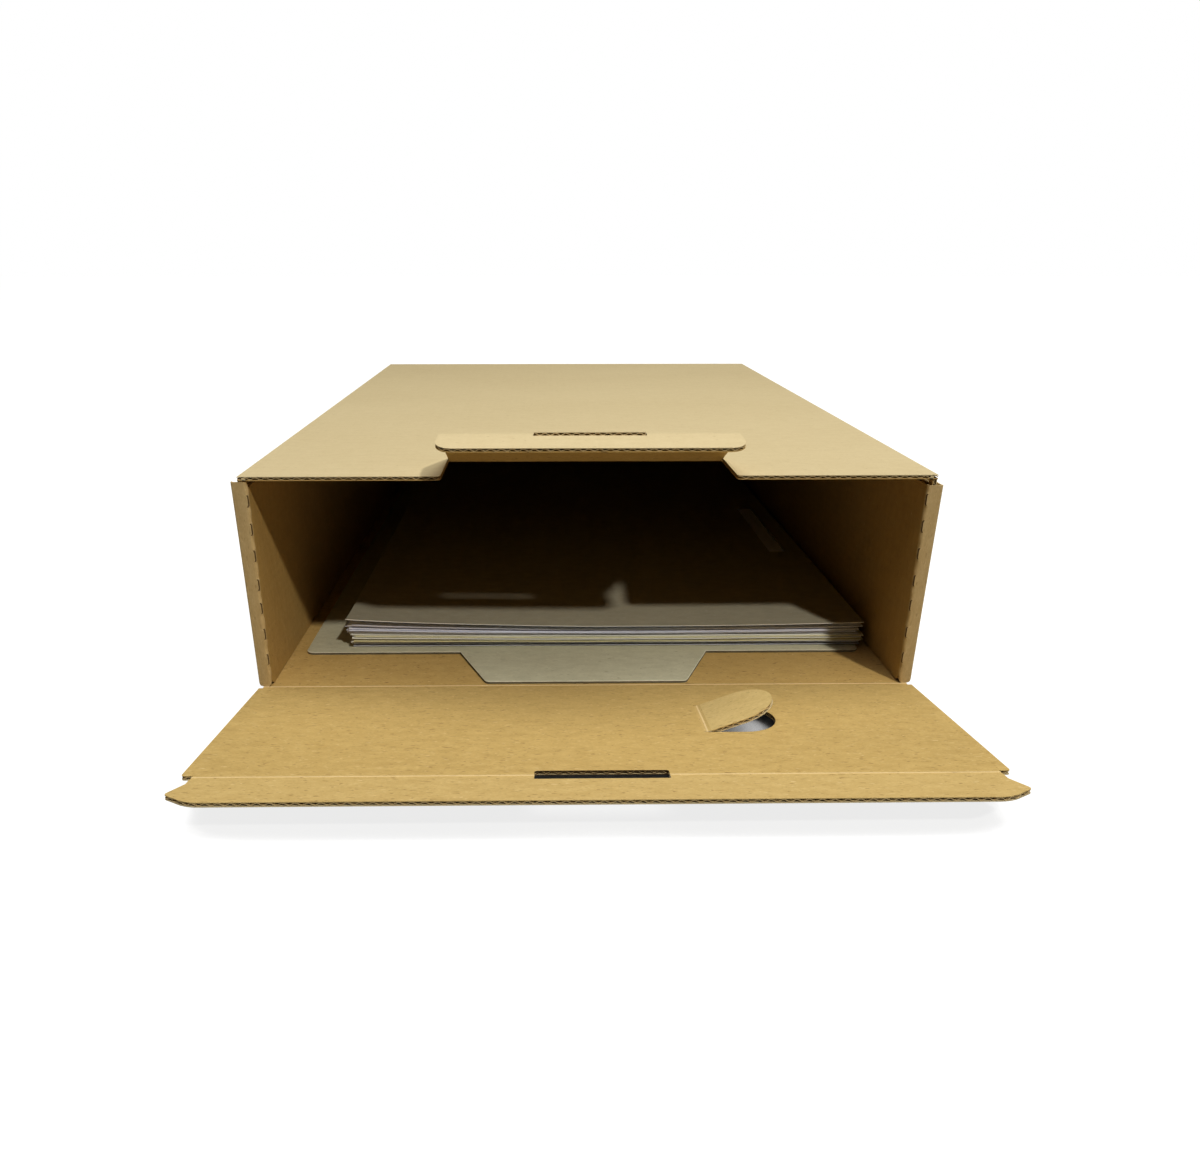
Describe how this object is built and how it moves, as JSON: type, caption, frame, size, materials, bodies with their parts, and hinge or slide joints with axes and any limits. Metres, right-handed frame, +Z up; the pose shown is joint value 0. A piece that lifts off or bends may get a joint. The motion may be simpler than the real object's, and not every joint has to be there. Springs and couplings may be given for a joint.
{
  "type": "archival box",
  "caption": "Flat front-opening archival box of folded corrugated board with a drop front, a closing tongue, a pull board and paper documents.",
  "frame": {"origin": "centre of the underside of the bottom panel, on the surface that the box stands on", "axes": "+Z up; +Y from the open front to the back wall; +X to the right of a person who looks in at the front"},
  "size_m": [0.246, 0.4239, 0.0968],
  "materials": {
    "kraft_board": "brown kraft liners on E-flute corrugated board, matt",
    "grey_board": "solid grey board, matt",
    "white_paper": "white office paper, matt",
    "cream_paper": "yellowish and cream paper, matt",
    "grey_paper": "warm grey folder paper, matt"
  },
  "bodies": {
    "tray": {"bottom_panel": "kraft_board", "back_wall": "kraft_board", "left_outer_wall": "kraft_board", "right_outer_wall": "kraft_board", "left_rollover_strip": "kraft_board", "right_rollover_strip": "kraft_board", "left_inner_wall": "kraft_board", "right_inner_wall": "kraft_board", "left_back_tuck_tab": "kraft_board", "right_back_tuck_tab": "kraft_board"},
    "lid": {"lid_panel": "kraft_board", "lid_left_side_flap": "kraft_board", "lid_right_side_flap": "kraft_board"},
    "tongue": {"closing_tongue": "kraft_board"},
    "tongue_end": {"tongue_lip": "kraft_board"},
    "drop_front": {"front_flap": "kraft_board"},
    "drop_front_lip": {"front_flap_lip": "kraft_board"},
    "finger_tab": {"finger_pull_tab": "kraft_board"},
    "contents": {"pull_board": "grey_board", "document_bundle_lower": "white_paper", "document_bundle_middle": "cream_paper", "document_bundle_upper": "white_paper", "document_bundle_top": "white_paper", "folder_cover_sheet": "grey_paper"}
  },
  "joints": [
    {"name": "lid_hinge", "type": "hinge", "parent": "tray", "child": "lid", "pos_m": [0, 0.166, 0.082], "axis": [1, 0, 0], "range_deg": [-110, 0]},
    {"name": "tongue_hinge", "type": "hinge", "parent": "lid", "child": "tongue", "pos_m": [0, -0.136, 0.082], "axis": [1, 0, 0], "range_deg": [-124, 27]},
    {"name": "tongue_lip_hinge", "type": "hinge", "parent": "tongue", "child": "tongue_end", "pos_m": [0, -0.16537, 0.09528], "axis": [1, 0, 0], "range_deg": [-33, 57]},
    {"name": "front_flap_hinge", "type": "hinge", "parent": "tray", "child": "drop_front", "pos_m": [0, -0.166, 0.0015], "axis": [-1, 0, 0], "range_deg": [-6.6, 83.3]},
    {"name": "front_lip_hinge", "type": "hinge", "parent": "drop_front", "child": "drop_front_lip", "pos_m": [0, -0.24228, 0.01046], "axis": [-1, 0, 0], "range_deg": [0, 90]},
    {"name": "finger_tab_hinge", "type": "hinge", "parent": "drop_front", "child": "finger_tab", "pos_m": [0.038, -0.19907, 0.00539], "axis": [0, 0.9932, -0.1167], "range_deg": [-55, 20]},
    {"name": "pull_board_slide", "type": "slide", "parent": "tray", "child": "contents", "axis": [0, 0.9763, -0.2164], "range_m": [-0.26, 0]}
  ]
}
